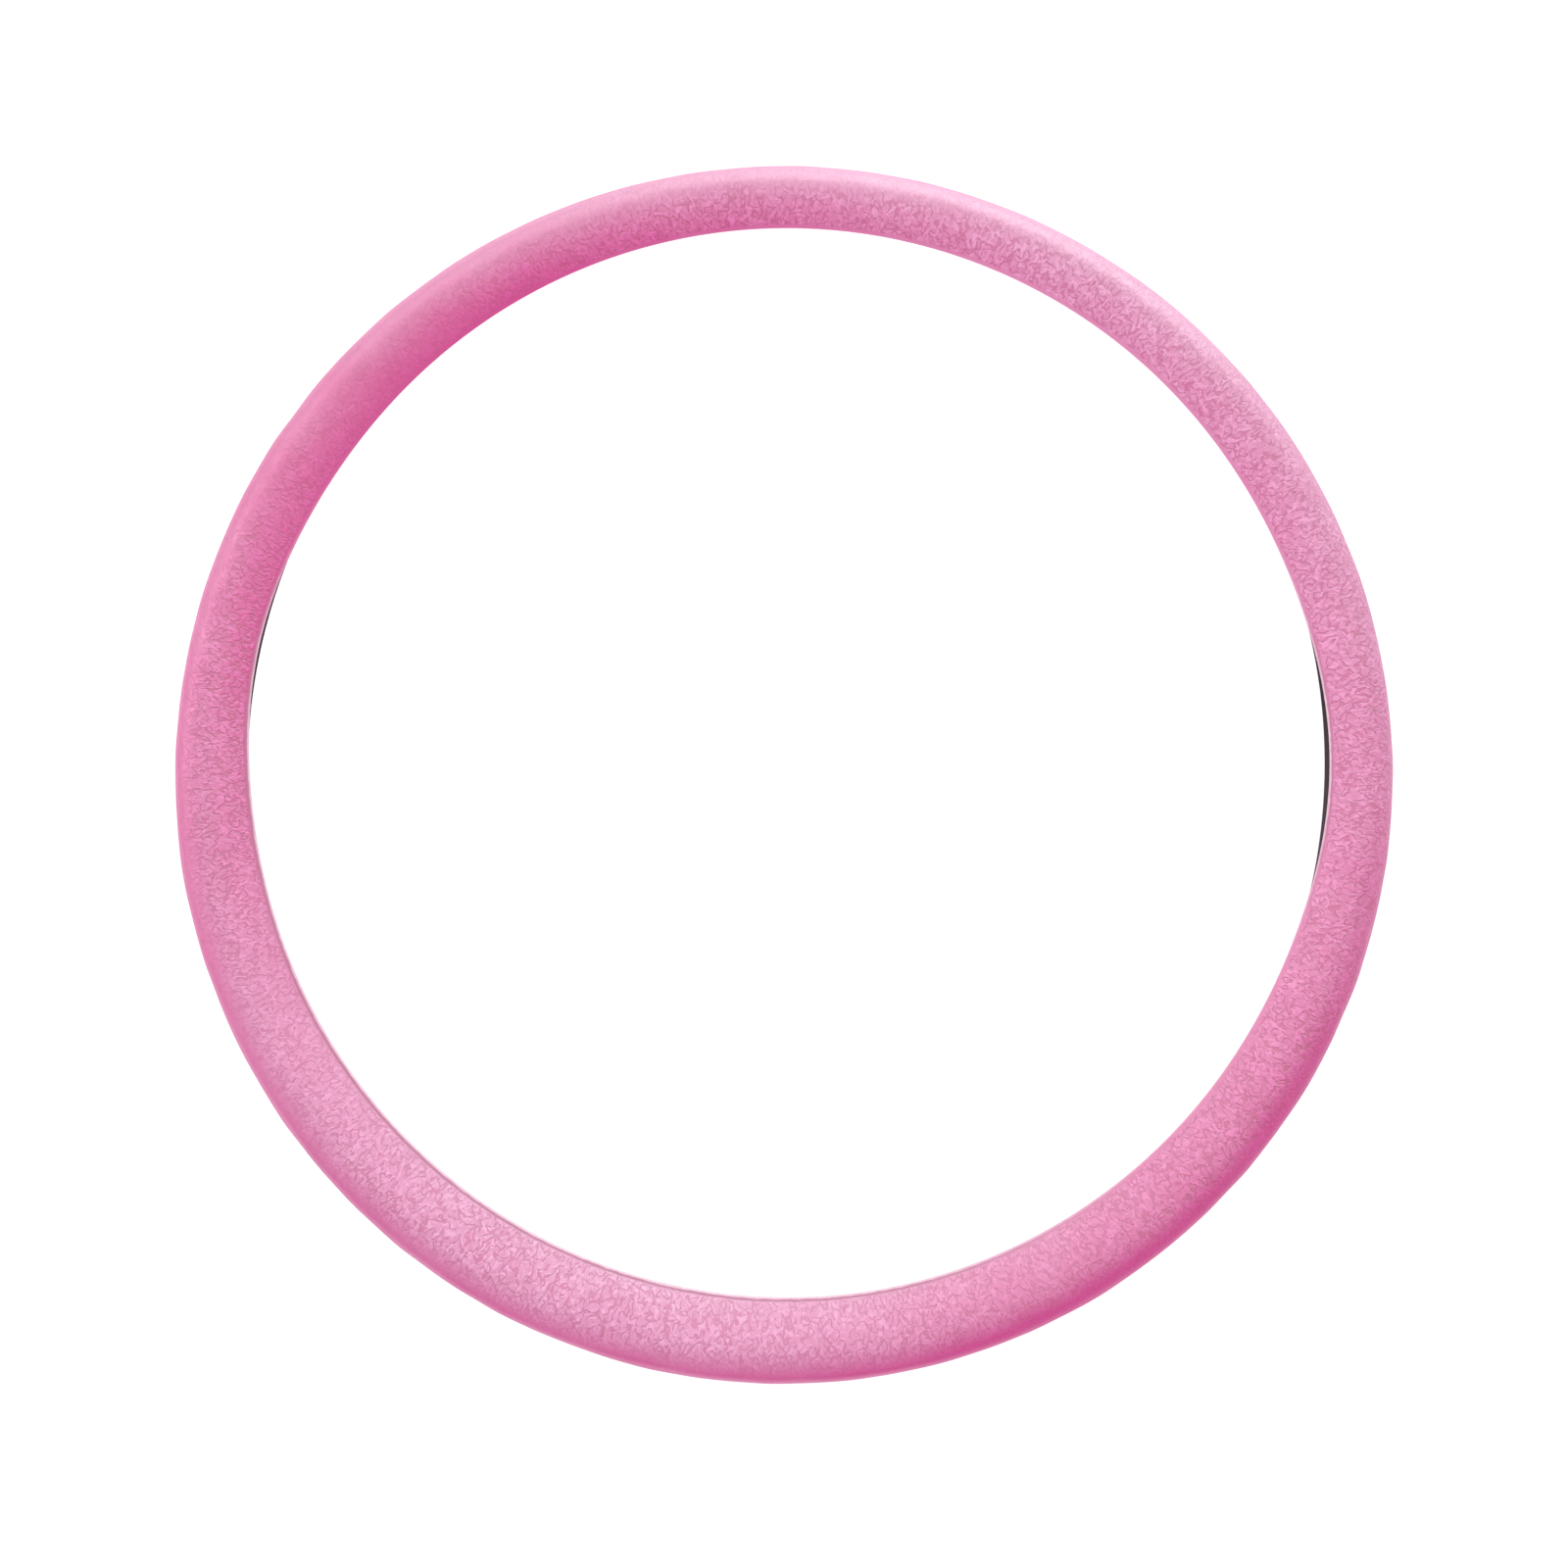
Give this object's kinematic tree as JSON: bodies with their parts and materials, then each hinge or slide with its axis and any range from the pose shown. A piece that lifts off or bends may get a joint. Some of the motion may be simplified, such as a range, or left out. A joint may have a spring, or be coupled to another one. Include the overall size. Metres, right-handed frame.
{
  "type": "steering wheel cover",
  "caption": "Soft ring of C-section, open towards its centre, that is stretched over the rim of a steering wheel to give it a padded, non-slip grip.",
  "frame": {"origin": "centre of the ring, on its middle plane, where the centre of the wheel's rim sits", "axes": "+Z along the ring's axis, out of the face that the driver sees; +Y towards the top of the wheel; +X to the driver's right"},
  "size_m": [0.38, 0.38, 0.034],
  "materials": {
    "suede": "matt suede-look leatherette, pink, fine pebbled grain",
    "sponge": "grey closed-cell sponge",
    "rubber": "black moulded rubber, satin"
  },
  "bodies": {
    "root": {"suede_skin": "suede", "foam_layer": "sponge", "rubber_ring": "rubber"}
  },
  "joints": []
}
